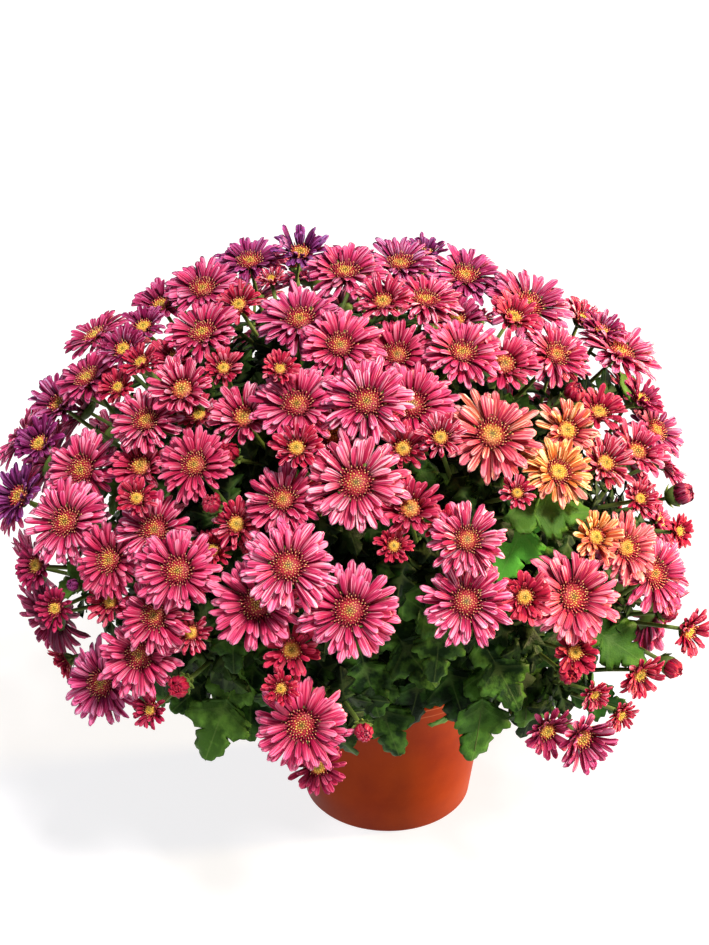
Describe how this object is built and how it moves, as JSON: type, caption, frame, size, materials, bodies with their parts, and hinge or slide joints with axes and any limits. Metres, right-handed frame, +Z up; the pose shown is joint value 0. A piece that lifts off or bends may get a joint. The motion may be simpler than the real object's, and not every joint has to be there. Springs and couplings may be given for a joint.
{
  "type": "pot chrysanthemum",
  "caption": "Flowering pot plant: a round mound of daisy-form pink blooms over lobed green leaves, rooted in a tapered plastic pot.",
  "frame": {"origin": "middle of the pot's base, on the surface it stands on", "axes": "+Z up the pot's axis; -Y towards the front, the side seen in the picture; +X to the right of the front"},
  "size_m": [0.4757, 0.4801, 0.412],
  "materials": {
    "pot": "smooth moulded terracotta-coloured plastic, low sheen",
    "soil": "dark crumbly potting mix of peat and bark",
    "foliage": "dark green leaves with a soft sheen, green stems",
    "blooms": "matt pink petals, crimson towards the base, yellow to orange disc"
  },
  "bodies": {
    "root": {"pot": "pot", "soil": "soil", "leafy_stems_01": "foliage", "leafy_stems_02": "foliage", "leafy_stems_03": "foliage", "leafy_stems_04": "foliage", "leafy_stems_05": "foliage", "spray_01": "blooms", "spray_02": "blooms", "spray_03": "blooms", "spray_04": "blooms", "spray_05": "blooms", "spray_06": "blooms", "spray_07": "blooms", "spray_08": "blooms", "spray_09": "blooms", "spray_10": "blooms", "spray_11": "blooms", "spray_12": "blooms", "spray_13": "blooms", "spray_14": "blooms", "spray_15": "blooms", "spray_16": "blooms", "spray_17": "blooms", "spray_18": "blooms", "spray_19": "blooms", "spray_20": "blooms", "spray_21": "blooms", "spray_22": "blooms", "spray_23": "blooms", "spray_24": "blooms", "spray_25": "blooms", "spray_26": "blooms", "spray_27": "blooms", "spray_28": "blooms", "spray_29": "blooms", "spray_30": "blooms", "spray_31": "blooms", "spray_32": "blooms", "spray_33": "blooms", "spray_34": "blooms", "spray_35": "blooms", "spray_36": "blooms", "spray_37": "blooms", "spray_38": "blooms", "spray_39": "blooms", "spray_40": "blooms", "spray_41": "blooms", "spray_42": "blooms", "spray_43": "blooms", "spray_44": "blooms", "spray_45": "blooms", "spray_46": "blooms", "spray_47": "blooms", "spray_48": "blooms", "spray_49": "blooms", "spray_50": "blooms", "spray_51": "blooms"}
  },
  "joints": []
}
